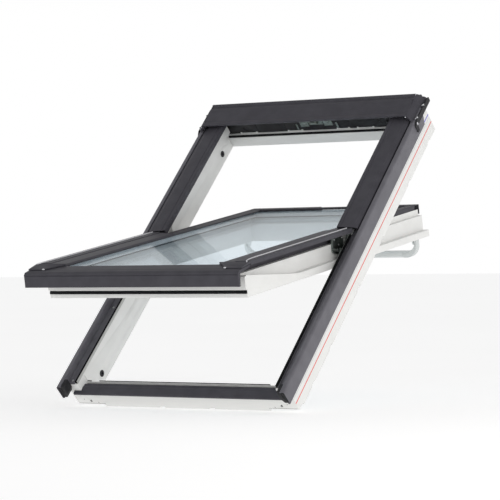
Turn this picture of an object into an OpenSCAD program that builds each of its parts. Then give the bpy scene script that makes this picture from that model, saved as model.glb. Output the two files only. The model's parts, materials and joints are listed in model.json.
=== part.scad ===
// Centre-pivot roof window: a timber frame set in the roof slope and a glazed sash that turns about
// its middle. Lengths are millimetres and angles are degrees.
//
// The window is drawn in its own slope coordinates: u across, v up the slope and w outward, with
// w = 0 on the room side of the frame. in_roof() leans that drawing back to the roof pitch and puts
// the origin at the middle of the window on the red line, the level of the roof battens.
// in_sash() also swings a piece that is drawn as if the window were shut.

/* [Window] */
// Width over the timber frame
window_w = 780; // [550:1:1340]
// Length over the timber frame, up the slope
window_h = 1178; // [900:1:1600]
// Pitch of the roof that the window lies in
roof_pitch = 45; // [20:1:65]
// Angle that the sash stands open from shut
open_angle = 36; // [0:1:60]

/* [Frame] */
// Thickness of the jambs and rails across their section
frame_t = 41; // [34:1:50]
// Depth of the jambs from the room side to the cladding
frame_d = 96; // [94:1:98]
// Depth of the bottom rail from the room side to its cladding
bottom_rail_d = 60; // [56:1:62]
// Height of the red line, the level of the roof battens, above the room side
red_line_w = 35; // [30:1:60]
// How far the jamb stops stand in from the jambs in the upper half
stop_t = 18.5; // [16:0.5:20]
// Depth of the pockets that take the fixing clips
clip_pocket_d = 3; // [2:0.5:5]
// Radius of the screw holes in the bottom face
fixing_hole_r = 3; // [2:0.25:4]
// Depth of the screw holes in the bottom face
fixing_hole_d = 22; // [12:1:30]

/* [Cladding] */
// Thickness of the aluminium sheet
sheet_t = 1.5; // [1:0.25:2]
// How far the jamb cladding stands out past the timber
clad_out = 11; // [9:0.5:14]
// How far the bottom cladding stands out past the timber
apron_out = 14; // [12:0.5:20]
// How far the jamb cladding runs on below the timber
clad_tail = 32; // [30:1:36]
// Width of the hood up the slope
hood_l = 118; // [110:1:130]

/* [Sash] */
// Gap between the sash and the jambs
side_gap = 4; // [3.5:0.25:5]
// Gap between the sash and the frame rails
end_gap = 8.5; // [8:0.25:10]
// Height of the room face of the shut sash
sash_in = 36; // [34:1:37]
// How far the sash lip stands out past the sash body
lip_t = 20; // [19:0.5:21]
// Thickness of the sash lip
lip_h = 21; // [18:0.5:21]
// Width of the stiles and rails, without the lip
stile_w = 53; // [40:1:60]
// Height of the timber of the sash above the room side of the frame
sash_top = 104; // [100:1:105]
// Height of the turning axis above the room side of the frame
pivot_w = 137; // [136:0.5:139]

/* [Glazing] */
// Thickness of each pane
pane_t = 4; // [3:0.5:6]
// Thickness of the whole glazing unit
unit_t = 24; // [22:0.5:24]
// Thickness of the gasket under the glazing unit
bed_t = 2; // [1.5:0.25:2.5]
// Width of the spacer round the glazing unit
spacer_w = 12; // [8:1:16]

/* [Fittings] */
// Radius to the middle of the curved hinge track
track_r = 59; // [57:0.5:60]
// Width of the curved hinge link
link_w = 6; // [5:0.5:7]
// Running clearance of the hinge link and the claw
run_gap = 0.3; // [0.25:0.05:0.5]
// Radius of the barrel bolt
bolt_r = 4; // [3:0.25:5]
// Clearance of pins and bolts in their bores
pin_gap = 0.15; // [0.1:0.05:0.3]
// Width of the control bar
bar_w = 540; // [300:1:552]

/* [Hidden] */
$fn = 48;

// Outer and inner half sizes of the frame.
out_u = window_w / 2;
out_v = window_h / 2;
in_u = out_u - frame_t;
in_v = out_v - frame_t;
// Half sizes of the sash: its lip, its body and its end.
lip_u = in_u - side_gap;
body_u = lip_u - lip_t;
end_v = in_v - end_gap;
reveal_u = body_u - stile_w;
reveal_v = end_v - stile_w - lip_t;
lip_top = sash_in + lip_h;
// Glazing unit.
unit_lo = sash_top + bed_t;
unit_hi = unit_lo + unit_t;
pane_u = body_u - 22;
pane_hi_v = end_v - 3.5;
pane_lo_v = -end_v - 6;
// Cover levels and edges.
bead_u = body_u - 16;
bead_t = 2.5;
bead_top = unit_hi + 7;
bead_edge_u = bead_u - 41;
lower_cover_u = body_u + 47;
lower_cover_top = unit_hi + 12.5;
cover_meet_v = 20;
top_bead_v = end_v + 13.5;
top_bead_edge_v = end_v - 16.5;
apron_v = end_v + 79.5;
// Cladding of the frame.
clad_u = out_u + clad_out;
clad_lo = 70;
clad_top = 119.5;
channel_u = out_u - 4;
floor_w = frame_d + sheet_t;
upper_cover_lo_v = 30;
upper_cover_hi_v = in_v + 27;
upper_cover_in_u = bead_u + 3;
upper_cover_out_u = channel_u - 1.5;
stop_lo_v = 80;
stop_lo_w = lip_top + 7;
stop_top = 110;
stop_u = in_u - stop_t;
// Bolt and bush: where the bolt lies in the shut sash, and where it meets its bushes.
bolt_v = end_v - 52;
bolt_w = sash_in + 14;
bush_w = 28;
bolt_arm = norm([bolt_v, bolt_w - pivot_w]);
bolt_lean = asin((pivot_w - bolt_w) / bolt_arm);
bush_lean = asin((pivot_w - bush_w) / bolt_arm);
bush_v = bolt_arm * cos(bush_lean);
bolt_throw = 14;
bush_r = 8;
// Opening of the sash at which the bolt meets the lower bush, for cleaning the outer pane.
clean_angle = 180 - bush_lean - bolt_lean;
// Hinge.
track_in = track_r - link_w / 2;
track_out = track_r + link_w / 2;
link_span = 110;
plate_t = 6;
groove_d = 4;
// The frame's plate ends below the cover that lies on the jamb stop.
plate_end = asin((pivot_w - stop_top + 0.2) / (track_in - 6));
// Control bar: its pivot in the shut sash.
bar_v = end_v - 39.5;
bar_pivot_w = sash_in - 14;
bar_hi = sash_in - 40;
bar_lo = sash_in - 61;
bar_t = 20;
cap_in_u = bar_w / 2 + 44;
cap_out_u = cap_in_u + 9;
cap_gap = 2;
cap_curve = 40;
// Lock: the claw pivot and the striker pin, both in the shut sash.
claw_v = end_v - 12.5;
claw_w = 84;
striker_v = end_v + 5.5;
striker_w = claw_w + 6;
striker_r = 3;
claw_t = 8;
// Vent flap.
flap_v = end_v - 4.5;
flap_w = 66;
flap_l = 31;
flap_open = 8;
flap_u = reveal_u - 17;
recess_v = end_v - 8.5;
recess_u = reveal_u - 10;

DARK = [0.26, 0.26, 0.28];
SIDE_GREY = [0.42, 0.42, 0.44];
BLACK = [0.06, 0.06, 0.06];
WHITE = [0.93, 0.93, 0.92];
STEEL = [0.42, 0.46, 0.45];
BRIGHT = [0.8, 0.8, 0.8];
GLASS = [0.75, 0.82, 0.84, 0.5];
SILVER = [0.8, 0.83, 0.83];

// ---------------------------------------------------------------- placing and shared shapes

module in_roof() {
    rotate([roof_pitch, 0, 0]) translate([0, 0, -red_line_w]) children();
}

module in_sash() {
    in_roof() translate([0, 0, pivot_w]) rotate([-open_angle, 0, 0]) translate([0, 0, -pivot_w])
        children();
}

// An outline drawn in (v, w), run from u0 to u1.
module along_u(u0, u1) {
    translate([u0, 0, 0]) rotate([90, 0, 90]) linear_extrude(u1 - u0) children();
}

// An outline drawn in (u, w), run from v0 to v1.
module along_v(v0, v1) {
    translate([0, v1, 0]) rotate([90, 0, 0]) linear_extrude(v1 - v0) children();
}

module on_left() { mirror([1, 0, 0]) children(); }

module box_uvw(lo, hi) { translate(lo) cube(hi - lo); }

// A rod or bore along u.
module rod_u(u0, u1, v, w, r) {
    translate([u0, v, w]) rotate([0, 90, 0]) cylinder(h = u1 - u0, r = r);
}

// The part of a ring about the turning axis between two angles, from +v towards +w.
module ring_sector(u0, u1, r_in, r_out, a0, a1) {
    translate([u0, 0, pivot_w]) rotate([90, 0, 90]) rotate([0, 0, a0])
        rotate_extrude(angle = a1 - a0, $fn = 96) translate([r_in, 0]) square([r_out - r_in, u1 - u0]);
}

function unit2(a, b) = (b - a) / norm(b - a);
function left_of(d) = [-d[1], d[0]];
// The corner of a folded sheet, t to the left of corner i of its path.
function inner_corner(p, i, t) =
    let (last = len(p) - 1,
         a = i == 0 ? left_of(unit2(p[0], p[1])) : left_of(unit2(p[i - 1], p[i])),
         b = i == last ? a : left_of(unit2(p[i], p[i + 1])))
    p[i] + t * (a + b) / (1 + a * b);
// The outline of a sheet folded along a path, t thick to the left of it.
function folded(p, t) = concat(p, [for (i = [len(p) - 1:-1:0]) inner_corner(p, i, t)]);
// Points on an arc about c.
function arc(c, r, a0, a1, n) = [for (i = [0:n]) let (a = a0 + (a1 - a0) * i / n) c + r * [cos(a), sin(a)]];

// ---------------------------------------------------------------- frame timber

corner_rebate_w = 9;
corner_rebate_v = 29;
corner_rebate_u = out_u - 101;

// The rebate under each end of the bottom face, with its bevelled inner end.
module corner_rebates() {
    for (s = [0, 1]) mirror([s, 0, 0]) along_v(-out_v - 1, -out_v + corner_rebate_v)
        polygon([[corner_rebate_u, -1], [out_u + 1, -1], [out_u + 1, corner_rebate_w],
            [corner_rebate_u + corner_rebate_w, corner_rebate_w]]);
}

clip_places = [-0.82, -0.58, -0.18, 0.17, 0.59, 0.9];

module jamb() {
    color(WHITE) in_roof() difference() {
        union() {
            along_v(-out_v, out_v)
                polygon([[in_u, 0], [out_u, 0], [out_u, frame_d], [in_u, frame_d]]);
            difference() {
                box_uvw([stop_u, stop_lo_v, stop_lo_w], [in_u + 3, in_v, stop_top]);
                ring_sector(stop_u - 1, in_u + 1, 0, stop_lo_v + 18, 180, 360);
            }
        }
        for (p = clip_places) box_uvw([out_u - clip_pocket_d, p * out_v - 11, -1],
            [out_u + 1, p * out_v + 11, 7]);
        corner_rebates();
    }
}

module frame_right_jamb() { jamb(); }

module frame_left_jamb() {
    difference() {
        on_left() jamb();
        in_roof() {
            for (v = [bush_v, -bush_v]) rod_u(-in_u - 16, -in_u + 1, v, bush_w, bush_r);
            rod_u(-lip_u - bolt_throw - 2, -in_u + 1, bolt_v, bolt_w, bolt_r + 0.5);
        }
    }
}

module frame_bottom_rail() {
    color(WHITE) in_roof() difference() {
        along_u(-in_u, in_u)
            polygon([[-out_v, 0], [-in_v, 0], [-in_v, bottom_rail_d], [-out_v, bottom_rail_d]]);
        corner_rebates();
        for (s = [-1, 1]) {
            translate([s * (in_u - 12), -out_v - 1, 25]) rotate([-90, 0, 0])
                cylinder(h = fixing_hole_d + 1, r = fixing_hole_r);
            box_uvw([s * 88 - 9, -out_v - 1, -1], [s * 88 + 9, -out_v + 4, 5]);
        }
    }
}

ledge_w = 38;
ledge_d = 4;
step_w = 48;

module frame_top_rail() {
    color(WHITE) in_roof() along_u(-in_u, in_u)
        polygon([[in_v, 0], [out_v, 0], [out_v, frame_d], [in_v + 14, frame_d], [in_v + 14, step_w],
            [in_v + ledge_d, step_w], [in_v + ledge_d, ledge_w], [in_v, ledge_w]]);
}

// ---------------------------------------------------------------- frame cladding

strip_h = 11;

// Upstand that stops the draught along the bottom rail, notched for drainage.
module bottom_draught_strip() {
    color(BLACK) in_roof() difference() {
        box_uvw([-in_u + 4, -in_v - 3, bottom_rail_d], [in_u - 4, -in_v, bottom_rail_d + strip_h]);
        for (s = [-1, 1]) box_uvw([s * 316 - 14, -in_v - 4, bottom_rail_d + 5],
            [s * 316 + 14, -in_v + 1, bottom_rail_d + strip_h + 1]);
    }
}

apron_end_u = lower_cover_u + 2.5;

module bottom_cladding() {
    a = -out_v - apron_out;
    color(DARK) in_roof() difference() {
        along_u(-apron_end_u + 0.5, apron_end_u - 0.5) polygon(folded([
            [-in_v - 5, bottom_rail_d + sheet_t], [-in_v - 12, bottom_rail_d + sheet_t],
            [-in_v - 14, bottom_rail_d + 8], [-in_v - 30, bottom_rail_d + 13],
            [a + 4, bottom_rail_d + 8], [a, bottom_rail_d + 4], [a, bottom_rail_d - 5],
            [a + 5, bottom_rail_d - 8]], sheet_t));
        for (s = [0, 1]) mirror([s, 0, 0])
            box_uvw([in_u - 0.5, -out_v - 0.5, bottom_rail_d - 1], [out_u, -in_v, frame_d]);
    }
}

// Folded jamb cladding: a side wall with a rounded shoulder, then a channel that lies on the jamb.
module jamb_cladding() {
    shoulder = 12;
    color(SIDE_GREY) in_roof() difference() {
        along_v(-out_v - clad_tail, out_v) polygon(folded(concat(
            [[clad_u - 7, clad_lo], [clad_u, clad_lo]],
            arc([clad_u - shoulder, clad_top - shoulder], shoulder, 0, 90, 8),
            [[channel_u, clad_top], [channel_u, floor_w], [in_u + 11, floor_w],
             [in_u + 11, floor_w + 5]]), sheet_t));
        box_uvw([in_u, -out_v - clad_tail - 1, frame_d - 2], [channel_u - 0.1, -out_v + 0.3, clad_top - 5]);
    }
}

module right_jamb_cladding() { jamb_cladding(); }
module left_jamb_cladding() { on_left() jamb_cladding(); }

// Cover over the upper half of a jamb: it lies on the stop inside and in the channel outside.
module upper_cover() {
    color(DARK) in_roof() along_v(upper_cover_lo_v, upper_cover_hi_v) polygon(folded([
        [stop_u + 15, stop_top], [upper_cover_in_u, stop_top], [upper_cover_in_u, stop_top + 18],
        [upper_cover_in_u + 12, stop_top + 17.2], [upper_cover_out_u - 11, stop_top + 13.5],
        [upper_cover_out_u, stop_top + 10.5], [upper_cover_out_u, floor_w]], -sheet_t));
}

module right_upper_cover() { upper_cover(); }
module left_upper_cover() { on_left() upper_cover(); }

// Moulded block that closes the lower end of a jamb cladding.
module corner_block() {
    color(BLACK) in_roof() difference() {
        along_v(-out_v - clad_tail + 2, -out_v)
            polygon([[apron_end_u, clad_lo + 18], [apron_end_u + 9, clad_lo + 2],
                [clad_u - sheet_t - 0.3, clad_lo + 2], [clad_u - sheet_t - 0.3, clad_top - 14],
                [clad_u - 12, clad_top - sheet_t - 2.4], [channel_u + sheet_t + 0.3, clad_top - sheet_t - 2.4],
                [channel_u + sheet_t + 0.3, floor_w - sheet_t - 0.3],
                [channel_u - 0.3, floor_w - sheet_t - 0.3],
                [channel_u - 0.3, clad_top - 2], [apron_end_u, clad_top - 2]]);
        translate([apron_end_u + 5, -out_v - clad_tail, clad_top - 9]) rotate([-90, 0, 0])
            cylinder(h = 8, r = 2.2, $fn = 24);
    }
}

module right_corner_block() { corner_block(); }
module left_corner_block() { on_left() corner_block(); }

// ---------------------------------------------------------------- hood

hood_lo_v = out_v - 97;
hood_hi_v = hood_lo_v + hood_l;
hood_w = 141;
hood_u = out_u - 2;

module top_hood() {
    color(DARK) in_roof() along_u(-hood_u, hood_u) polygon(folded(concat(
        arc([hood_lo_v + 6, hood_w + 3.5], 5, 250, 100, 6),
        [[hood_lo_v + 20, hood_w + 5.5], [hood_lo_v + 55, hood_w + 4.8], [hood_lo_v + 86, hood_w + 6]],
        arc([hood_lo_v + 93, hood_w + 4], 6, 140, 30, 5),
        [[hood_hi_v - 4, hood_w - 6], [hood_hi_v, hood_w - 16], [hood_hi_v, frame_d + 8]]), -sheet_t));
}

// End of the hood: a cheek outside the jamb cladding, joined to a web that stands on the jamb.
module hood_end() {
    color(DARK) in_roof() union() {
        along_u(clad_u + 0.5, clad_u + 3)
            polygon([[hood_lo_v - 6, clad_lo + 14], [hood_lo_v - 10, clad_top - 4],
                [hood_lo_v + 2, hood_w - 2], [hood_lo_v + 10, hood_w + 5], [hood_hi_v - 16, hood_w + 5],
                [hood_hi_v, hood_w - 14], [hood_hi_v, clad_top - 10], [hood_hi_v - 24, clad_lo + 4]]);
        along_u(hood_u + 0.5, clad_u + 0.5)
            polygon([[hood_lo_v + 6, clad_top + 0.5], [hood_lo_v + 10, hood_w + 5],
                [hood_hi_v - 17, hood_w + 5], [hood_hi_v - 6, hood_w - 12], [hood_hi_v - 6, clad_top + 0.5]]);
    }
}

module right_hood_end() { hood_end(); }
module left_hood_end() { on_left() hood_end(); }

// Panel that holds the air filter, lying against the step of the top rail and under the hood.
module vent_filter_panel() {
    v0 = in_v + 10;
    color([0.18, 0.18, 0.18]) in_roof() difference() {
        union() {
            box_uvw([-in_u + 3, v0, step_w], [in_u - 3, in_v + 14, frame_d + 12]);
            box_uvw([-in_u + 3, in_v + 14, frame_d], [in_u - 3, out_v - 4, frame_d + 4]);
        }
        for (u = [-in_u + 120, -120, 120, in_u - 120])
            box_uvw([u - 1, v0 - 1, step_w + 4], [u + 1, v0 + 1.2, frame_d + 13]);
        for (s = [-1, 1]) translate([s * (in_u - 80), v0 + 1.5, step_w + 22]) rotate([90, 0, 0])
            linear_extrude(3) scale([1.5, 1.5]) circle(r = 8);
    }
}

// Bracket with the pin that the claw of the lock takes hold of.
module lock_striker() {
    v1 = in_v + 10;
    color(STEEL) in_roof() union() {
        box_uvw([-26, v1 - 2, striker_w - 18], [26, v1, striker_w + 14]);
        for (s = [-1, 1]) along_u(s * 10 - 2, s * 10 + 2)
            polygon([[v1 - 1, striker_w - 12], [v1 - 1, striker_w + 12], [striker_v, striker_w + 5],
                [striker_v - 4, striker_w], [striker_v, striker_w - 5]]);
        rod_u(-12, 12, striker_v, striker_w, striker_r);
    }
}

// ---------------------------------------------------------------- frame gaskets, bushes, screws

// Ribbed gasket along the lower half of a jamb, under the sash cover.
module frame_gasket() {
    rib = 3;
    color(BLACK) in_roof() union() {
        along_v(-out_v + 4, cover_meet_v) polygon(concat([[in_u + 9, frame_d], [in_u + 9, frame_d + 6]],
            [for (i = [0:2]) each [[in_u + 8 - i * rib, frame_d + 9], [in_u + 7 - i * rib, frame_d + 6]]],
            [[in_u + 0.5, frame_d + 8], [in_u + 0.5, frame_d]]));
    }
}

module right_frame_gasket() { frame_gasket(); }
module left_frame_gasket() { on_left() frame_gasket(); }

// Gasket under each jamb stop and along the ledge of the top rail.
module stop_gaskets() {
    color(BLACK) in_roof() {
        for (s = [0, 1]) mirror([s, 0, 0]) along_v(stop_lo_v + 24, in_v - 2)
            polygon([[stop_u + 4, stop_lo_w], [stop_u + 12, stop_lo_w], [stop_u + 11, stop_lo_w - 5],
                [stop_u + 5, stop_lo_w - 5]]);
        along_u(-in_u + 2, in_u - 2) polygon([[in_v + 1, ledge_w], [in_v + ledge_d, ledge_w],
            [in_v + ledge_d, step_w - 1], [in_v + 2, step_w - 3]]);
    }
}

module bolt_bushes() {
    color(BLACK) in_roof() for (v = [bush_v, -bush_v]) difference() {
        union() {
            rod_u(-in_u - 16, -in_u, v, bush_w, bush_r);
            rod_u(-in_u, -in_u + 1.2, v, bush_w, bush_r + 2.5);
        }
        rod_u(-in_u - 15, -in_u + 2, v, bush_w, bolt_r + pin_gap);
    }
}

// Screws through the bottom of the jamb cladding and the upper covers.
module cladding_screws() {
    color(BRIGHT) in_roof() for (s = [-1, 1]) {
        for (v = [-out_v + 14, -in_v / 2, -40]) translate([s * (in_u + 24), v, floor_w])
            cylinder(h = 2.2, r = 4);
        for (v = [out_v - 20, out_v - 78]) translate([s * (clad_u + 3), v, clad_top + 2])
            rotate([0, s * 90, 0]) cylinder(h = 2, r = 3.5);
    }
}

// ---------------------------------------------------------------- hinge

// Plate on the jamb with the curved groove for the link.
module frame_hinge_plate() {
    color(STEEL) in_roof() difference() {
        ring_sector(in_u - plate_t, in_u, track_in - 6, track_out + 6, 180 + plate_end, 360 - plate_end);
        ring_sector(in_u - plate_t - 1, in_u - plate_t + groove_d, track_in - run_gap,
            track_out + run_gap, 200, 340);
    }
}

module right_frame_hinge_plate() { frame_hinge_plate(); }
module left_frame_hinge_plate() { on_left() frame_hinge_plate(); }

// Plate on the sash with the same groove.
module sash_hinge_plate() {
    color(STEEL) in_sash() difference() {
        intersection() {
            ring_sector(body_u, body_u + plate_t, 12, track_out + 5.5, 180, 360);
            box_uvw([body_u - 1, -36, 0],
                [body_u + plate_t + 1, upper_cover_lo_v - 1, lower_cover_top - 16]);
        }
        ring_sector(body_u + plate_t - groove_d, body_u + plate_t + 1, track_in - run_gap,
            track_out + run_gap, 180, 360);
    }
}

module right_sash_hinge_plate() { sash_hinge_plate(); }
module left_sash_hinge_plate() { on_left() sash_hinge_plate(); }

module hinge_screws() {
    color(BRIGHT) in_sash() for (s = [0, 1]) mirror([s, 0, 0])
        for (p = [[-22, 22], [0, 40], [22, 22]])
            rod_u(body_u + plate_t, body_u + plate_t + 1.8, p[0], pivot_w - p[1], 3.6);
}

// Curved link that slides in both grooves and turns half as far as the sash.
module hinge_link() {
    color(BRIGHT) in_roof() ring_sector(body_u + plate_t - groove_d + run_gap,
        in_u - plate_t + groove_d - run_gap, track_in, track_out,
        270 - link_span / 2 - open_angle / 2, 270 + link_span / 2 - open_angle / 2);
}

module right_hinge_link() { hinge_link(); }
module left_hinge_link() { on_left() hinge_link(); }

// ---------------------------------------------------------------- sash timber

// The lip's outer face: low along most of the stile, rising to the cover near the bottom end.
module lip_outline() {
    rise = 300;
    climb = 42;
    big_r = (rise * rise + climb * climb) / (2 * climb);
    start = -end_v + rise;
    top = arc([start, lip_top + big_r], big_r, 270, 270 - asin(rise / big_r), 10);
    polygon(concat([[-end_v, sash_in], [end_v, sash_in], [end_v, lip_top]], top));
}

module stile() {
    color(WHITE) in_sash() union() {
        along_v(-end_v, end_v) polygon([[reveal_u, sash_in], [body_u, sash_in], [body_u, sash_top],
            [reveal_u + 9, sash_top], [reveal_u, sash_top - 9]]);
        along_u(body_u, lip_u) lip_outline();
    }
}

module sash_right_stile() { stile(); }

module sash_left_stile() {
    difference() {
        on_left() stile();
        in_sash() {
            rod_u(-lip_u - 1, -reveal_u, bolt_v, bolt_w, bolt_r + pin_gap);
            for (s = [-1, 1]) rod_u(-reveal_u - 28, -reveal_u + 1, bolt_v + s * 8, bolt_w, 9);
            box_uvw([-reveal_u - 28, bolt_v - 8, bolt_w - 9], [-reveal_u + 1, bolt_v + 8, bolt_w + 9]);
        }
    }
}

gasket_w0 = sash_in + 8;
gasket_w1 = sash_in + 15;

module sash_bottom_rail() {
    color(WHITE) in_sash() along_u(-reveal_u, reveal_u) polygon([[-end_v, sash_in],
        [-reveal_v, sash_in], [-reveal_v, sash_top - 9], [-reveal_v - 9, sash_top],
        [-end_v, sash_top], [-end_v, gasket_w1], [-end_v + 4, gasket_w1], [-end_v + 4, gasket_w0],
        [-end_v, gasket_w0]]);
}

module sash_bottom_gasket() {
    color(BLACK) in_sash() along_u(-reveal_u + 2, reveal_u - 2)
        polygon([[-end_v + 4, gasket_w0 + 0.3], [-end_v + 4, gasket_w1 - 0.3],
            [-end_v - 1.5, gasket_w1 - 1.5], [-end_v - 1.5, gasket_w0 + 1.5]]);
}

case_u = 42;
case_in_v = end_v - 24.5;

module sash_top_rail() {
    color(WHITE) in_sash() difference() {
        along_u(-reveal_u, reveal_u) polygon([[end_v, sash_in], [reveal_v, sash_in],
            [reveal_v, sash_top - 9], [reveal_v + 9, sash_top], [end_v, sash_top]]);
        box_uvw([-recess_u, recess_v, flap_w - 5], [recess_u, end_v + 1, sash_top - 4]);
        box_uvw([-case_u, case_in_v, flap_w + 6], [case_u, end_v + 1, sash_top - 4]);
        for (s = [-1, 1]) rod_u(s * (recess_u + 4) - 5, s * (recess_u + 4) + 5, flap_v, flap_w, 2 + pin_gap);
    }
}

// ---------------------------------------------------------------- glazing

module pane(w) {
    color(GLASS) in_sash() box_uvw([-pane_u, pane_lo_v, w], [pane_u, pane_hi_v, w + pane_t]);
}

module outer_pane() { pane(unit_hi - pane_t); }
module inner_pane() { pane(unit_lo); }

module pane_ring(edge, width, w0, w1) {
    difference() {
        box_uvw([-pane_u + edge, pane_lo_v + edge, w0], [pane_u - edge, pane_hi_v - edge, w1]);
        box_uvw([-pane_u + edge + width, pane_lo_v + edge + width, w0 - 1],
            [pane_u - edge - width, pane_hi_v - edge - width, w1 + 1]);
    }
}

module pane_spacer() {
    color(SILVER) in_sash() pane_ring(2, spacer_w, unit_lo + pane_t, unit_hi - pane_t);
}

module glazing_gasket() {
    color(BLACK) in_sash() intersection() {
        pane_ring(0, 14, sash_top, unit_lo);
        box_uvw([-body_u, -end_v, 0], [body_u, end_v, unit_hi]);
    }
}

// ---------------------------------------------------------------- sash covers

module sash_bottom_cover() {
    a = -apron_v;
    drop = unit_hi - 49;
    web_u = pane_u - 8;
    color(DARK) in_sash() union() {
        along_u(-lower_cover_u, lower_cover_u) polygon(folded([[a + 11, drop], [a, drop],
            [a, drop + 37], [a + 4, drop + 43.5], [a + 24, drop + 48], [a + 66, unit_hi + 3.5]], -sheet_t));
        for (s = [0, 1]) mirror([s, 0, 0]) along_u(lower_cover_u - sheet_t, lower_cover_u)
            polygon([[a, drop], [a + 26, drop], [a + 29, floor_w + 14], [a + 66, floor_w + 14],
                [a + 66, unit_hi + 3], [a + 24, drop + 47.5], [a + 4, drop + 43], [a, drop + 37]]);
        box_uvw([-web_u, -end_v - 5, sash_top - 6], [web_u, -end_v, unit_lo - 1]);
        box_uvw([-web_u, a + 62, sash_top - 6], [web_u, a + 67, unit_hi + 2]);
        box_uvw([-web_u, a + 62, sash_top - 6], [web_u, -end_v, sash_top - 3]);
    }
}

// Side cover of the lower half: a flat top, a step down to the outer band, and a leg on the stile.
module lower_cover() {
    tip_l = 46;
    tip_v = -end_v - 11;
    color(DARK) in_sash() union() {
        along_v(tip_v, cover_meet_v) polygon(folded([[bead_edge_u, unit_hi + 0.3],
            [bead_edge_u, unit_hi + 4], [bead_edge_u + 8, lower_cover_top - 4],
            [body_u - 5, lower_cover_top - 1.5], [body_u - 2, lower_cover_top],
            [lower_cover_u, lower_cover_top], [lower_cover_u, unit_hi]], -sheet_t));
        along_v(-end_v, cover_meet_v)
            polygon([[bead_u - bead_t, sash_top], [bead_u, sash_top], [bead_u, lower_cover_top - 3],
                [bead_u - bead_t, lower_cover_top - 3]]);
        along_u(bead_edge_u + 12, lower_cover_u) polygon([[tip_v, unit_hi + 4.2],
            [tip_v, lower_cover_top - 2], [tip_v - tip_l, unit_hi + 1], [tip_v - tip_l, unit_hi - 0.6]]);
    }
}

module sash_right_lower_cover() { lower_cover(); }
module sash_left_lower_cover() { on_left() lower_cover(); }

// Bead of the upper half: it holds the glass and stands on the stile, clear of the frame's cover.
function bead_outline(edge, wall) = [[edge, unit_hi + 0.3], [edge, unit_hi + 3],
    [edge + (wall > edge ? 28 : -28), bead_top], [wall, bead_top]];

module side_bead() {
    color(DARK) in_sash() union() {
        along_v(cover_meet_v + 0.5, top_bead_edge_v) polygon(concat(bead_outline(bead_edge_u, bead_u),
            [[bead_u, sash_top], [bead_u - bead_t, sash_top], [bead_u - bead_t, unit_hi + 0.3]]));
    }
}

module sash_right_bead() { side_bead(); }
module sash_left_bead() { on_left() side_bead(); }

notch_u = 50;

module sash_top_bead() {
    color(DARK) in_sash() difference() {
        union() {
            along_u(-bead_u, bead_u) polygon([[top_bead_edge_v + 0.5, unit_hi + 0.3],
                [top_bead_edge_v + 0.5, bead_top], [top_bead_v, bead_top], [top_bead_v, unit_lo],
                [top_bead_v - bead_t, unit_lo], [top_bead_v - bead_t, unit_hi + 0.3]]);
            for (s = [-1, 1]) box_uvw([s * 180 - 110, end_v - 3, sash_top],
                [s * 180 + 110, top_bead_v - 1, sash_top + bead_t]);
        }
        box_uvw([-notch_u, end_v - 0.5, sash_top - 1], [notch_u, top_bead_v + 1, bead_top + 1]);
    }
}

// ---------------------------------------------------------------- lock and vent flap

module lock_case() {
    slot = claw_t / 2 + run_gap;
    color(STEEL) in_sash() difference() {
        union() {
            box_uvw([-case_u + 0.5, recess_v + 5, flap_w + 7], [case_u - 0.5, end_v, sash_top - 4.5]);
            box_uvw([-case_u + 0.5, case_in_v, flap_w + 7], [case_u - 0.5, recess_v + 5, sash_top - 4.5]);
        }
        box_uvw([-slot, case_in_v + 2, flap_w + 6], [slot, end_v + 1, sash_top - 3]);
    }
    color(BRIGHT) in_sash() rod_u(-slot - 0.1, slot + 0.1, claw_v, claw_w, 3);
}

// Claw of the lock, with the slot that takes the striker pin.
module latch_claw() {
    slot_in = striker_v - 4;
    slot_out = striker_v + 4.5;
    color(BRIGHT) in_sash() difference() {
        union() {
            rod_u(-claw_t / 2, claw_t / 2, claw_v, claw_w, 8);
            along_u(-claw_t / 2, claw_t / 2) polygon([[claw_v, claw_w - 8], [slot_out + 2.5, claw_w - 6],
                [slot_out + 2.5, claw_w + 13], [slot_out - 0.8, claw_w + 14.5],
                [slot_out - 0.8, claw_w + 12], [slot_out, claw_w + 10], [slot_out, claw_w - 2],
                [slot_in, claw_w - 2], [slot_in, claw_w + 5], [slot_in - 3, claw_w + 8],
                [claw_v, claw_w + 8]]);
        }
        rod_u(-claw_t, claw_t, claw_v, claw_w, 3 + pin_gap);
    }
}

// Flap of the ventilator, part open.
module vent_flap() {
    color(WHITE) in_sash() translate([0, flap_v, flap_w]) rotate([-flap_open, 0, 0])
        translate([0, -flap_v, -flap_w]) {
            difference() {
                box_uvw([-flap_u, flap_v - 1.5, flap_w], [flap_u, flap_v + 1.5, flap_w + flap_l]);
                box_uvw([-case_u - 1, flap_v - 3, flap_w + 5], [case_u + 1, flap_v + 3, flap_w + flap_l + 1]);
            }
            rod_u(-flap_u, flap_u, flap_v, flap_w, 3);
            rod_u(-recess_u - 6, recess_u + 6, flap_v, flap_w, 2);
        }
}

// ---------------------------------------------------------------- control bar and bolt

module control_bar() {
    color(SILVER) in_sash() along_u(-bar_w / 2, bar_w / 2) difference() {
        polygon(concat(arc([bar_v - bar_t / 2 + 7, bar_lo + 7], 7, 180, 270, 5),
            arc([bar_v + bar_t / 2 - 7, bar_lo + 7], 7, 270, 360, 5),
            [[bar_v + bar_t / 2, bar_hi], [bar_v - bar_t / 2, bar_hi]]));
        polygon([[bar_v - bar_t / 2 + 2, bar_hi - 2], [bar_v + bar_t / 2 - 2, bar_hi - 2],
            [bar_v + bar_t / 2 - 2, bar_lo + 8], [bar_v + bar_t / 2 - 8, bar_lo + 2],
            [bar_v - bar_t / 2 + 8, bar_lo + 2], [bar_v - bar_t / 2 + 2, bar_lo + 8]]);
    }
}

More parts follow.
